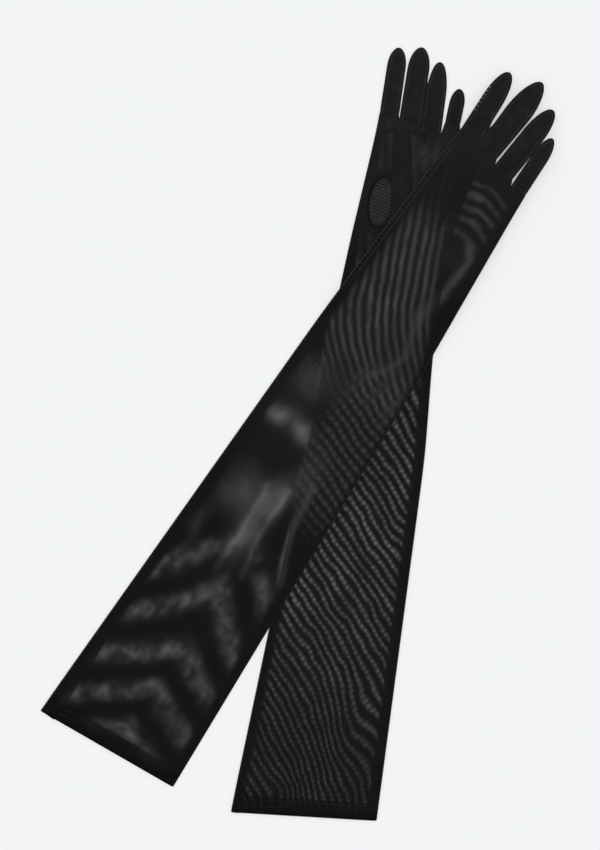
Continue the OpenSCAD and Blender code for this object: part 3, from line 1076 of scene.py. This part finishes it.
def thumb(glove, hole):
    """The thumb: an outer net that also covers the oval hole, an inner net, its seam and rim."""
    side = glove.side
    over_palm = side == "left"
    sign = 1 if over_palm else -1
    tube = glove.cad_outlines(f"{side}_thumb", facing=-sign)[0]
    cover = glove.cad_outlines(f"{side}_thumb", facing=sign)[0]
    root, reach = thumb_frame(glove, tube)
    centre = hole.mean(axis=0)
    tube = smoothed(tube, 1.5 * MM, corner_deg=70, passes=4)
    cover = smoothed(cover, 1.5 * MM, corner_deg=70, passes=4)
    bend = thumb_bend(glove, centre, root)
    surface = TOP_NET + PUFF if over_palm else UNDER_NET
    seam_line = 0.75 * MM

    def height(gap, swell):
        def at(flat, from_rim):
            out = (flat - root) @ reach
            free = smoothstep(out, 2 * MM, 22 * MM)
            swollen = gap + swell * smoothstep(from_rim, 0, 7 * MM)
            full = seam_line + (swollen - seam_line) * roundness(from_rim)
            near = 0.42 * MM if gap < seam_line else 0.72 * MM
            return glove.rest(flat) + surface + sign * (near + (full - near) * free)
        return at

    cloth = thumb_cloth(glove, hole)
    outer = net(f"{side}_thumb_outer_net", glove, cover, height(1.25 * MM, 0.8 * MM), cloth,
                step=FINGER_STEP)
    inner = net(f"{side}_thumb_inner_net", glove, tube, height(0.42 * MM, 0.0), FINGER_NET,
                step=FINGER_STEP)
    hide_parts(f"{side}_thumb")
    sides = side_runs(tube, root, reach)
    out = (sides[-1] - root) @ reach
    seam_run = sides[-1][out > 20 * MM]
    middle_height = surface + sign * 0.8 * MM
    seam = swept(f"{side}_thumb_seam_turnings", glove, seam_run,
                 strip(2.6 * MM, 0.25 * MM, up=middle_height, inwards=0.9 * MM),
                 over(glove, 0), SEAM)
    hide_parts(f"{side}_thumb_seam")
    rim_path = np.vstack([sides[1], tip_run(tube, root, reach), sides[-1]])
    rim_path = rim_path[(rim_path - root) @ reach > 16 * MM]
    roll = swept(f"{side}_thumb_rim", glove, rim_path,
                 oval(0.5 * MM, 0.6 * MM, up=middle_height, inwards=0.1 * MM),
                 over(glove, 0), RIM)
    for made in (outer, inner, seam, roll):
        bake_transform(made)
    under, above = (inner, outer) if over_palm else (outer, inner)
    outlines = {outer: cover, inner: tube}
    declare(outlines[under])
    declare(outlines[above])


def thumb_bend(glove, hole_centre, root):
    """Where the thumb's bend starts, past its oval hole, and where it ends."""
    towards = THUMB_BEND_TOWARDS
    between = hole_centre * (1 - THUMB_BEND_SHARE) + root * THUMB_BEND_SHARE
    start = hole_centre + towards * ((between - hole_centre) @ towards + THUMB_BEND_START)
    return glove.point(*start), glove.point(*(start + towards * THUMB_BEND_LENGTH))


def thumb_frame(glove, tube):
    """The thumb's root, at its joint, and its unit direction, towards its tip."""
    joint = JOINTS[f"{glove.side}_thumb_swing"]
    root = glove.flat(np.array(joint["pos_m"][:2]))[0]
    tip = tube[np.argmax(np.linalg.norm(tube - root, axis=1))]
    return root, (tip - root) / np.linalg.norm(tip - root)


def thumb_ring(glove, hole):
    """The rolled seam round the oval hole, with its turnings between the layers."""
    side = glove.side
    palm_up = side == "left"
    surface = TOP_NET + PUFF / 2 if palm_up else UNDER_NET
    path = smoothed(hole, 1.5 * MM, corner_deg=60, passes=4)[::-1]
    turnings = swept(f"{side}_thumb_ring_turnings", glove, path,
                     strip(2.6 * MM, 0.3 * MM, up=PLY, inwards=0.4 * MM), over(glove, 0),
                     SEAM, closed=True)
    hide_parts(f"{side}_thumb_hole_seam")
    roll = swept(f"{side}_thumb_ring_roll", glove, path, oval(1.1 * MM, 0.7 * MM, up=surface),
                 over(glove, 0), HEM, closed=True)
    for made in (turnings, roll):
        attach(made, glove.hand)
    return [turnings, roll]


def build(glove, outline, upper_cloth):
    """All of one glove, which lies at the heights that its rest gives: on the floor, or over the glove
    beneath it.
    """
    hole = smoothed(glove.cad_outlines(f"{glove.side}_palm_panel")[1], RIM_STEP, 60, 2)
    (lower, lower_holes), (upper, upper_holes) = panels(glove, outline, hole, upper_cloth)
    seams = long_seams(glove, outline)
    trims = hem(glove, outline) + thumb_ring(glove, hole)
    declare(outline, lower_holes)
    declare(outline, upper_holes)
    thumb(glove, hole)
    for name in FINGERS:
        finger(glove, name)


# -------------------- camera, floor and light

FIELD = (0.48, 0.68)
AIM = (1.69 * MM, 6.66 * MM)
CAMERA_HEIGHT = 3.0
SENSOR = 36.0


def camera():
    """Straight above, with a long lens."""
    data = bpy.data.cameras.new("camera")
    data.sensor_width = SENSOR
    data.lens = SENSOR * CAMERA_HEIGHT / FIELD[1]
    data.clip_end = 100
    made = placed("camera", data)
    made.location = (*AIM, CAMERA_HEIGHT)
    bpy.context.scene.camera = made


def floor():
    """A plain pale floor, a little below the lowest point of the gloves."""
    mesh = bpy.data.meshes.new("floor")
    size = 30.0
    low = -0.05 * MM
    mesh.from_pydata([(-size, -size, low), (size, -size, low), (size, size, low),
                      (-size, size, low)], [], [(0, 1, 2, 3)])
    made = placed("floor", mesh)
    material = bpy.data.materials.new("pale floor")
    material.use_nodes = True
    shader = material.node_tree.nodes["Principled BSDF"]
    shader.inputs["Base Color"].default_value = (0.872, 0.888, 0.905, 1)
    shader.inputs["Roughness"].default_value = 1.0
    shader.inputs["Specular IOR Level"].default_value = 0.0
    mesh.materials.append(material)


def light():
    """Soft light from all round, and most of it from straight above."""
    world = bpy.data.worlds.new("studio")
    world.use_nodes = True
    world.node_tree.nodes["Background"].inputs["Color"].default_value = (1, 1, 1, 1)
    world.node_tree.nodes["Background"].inputs["Strength"].default_value = 0.4
    bpy.context.scene.world = world
    data = bpy.data.lights.new("overhead", "SUN")
    data.energy = 1.96
    data.angle = math.radians(12)
    placed("overhead", data)


bpy.context.scene.view_settings.view_transform = "Standard"
bpy.context.scene.cycles.transparent_max_bounces = 64
camera()
floor()
light()
build(LEFT, LEFT_PANEL, left_net())
build(RIGHT, RIGHT.panel_outline(), right_net())
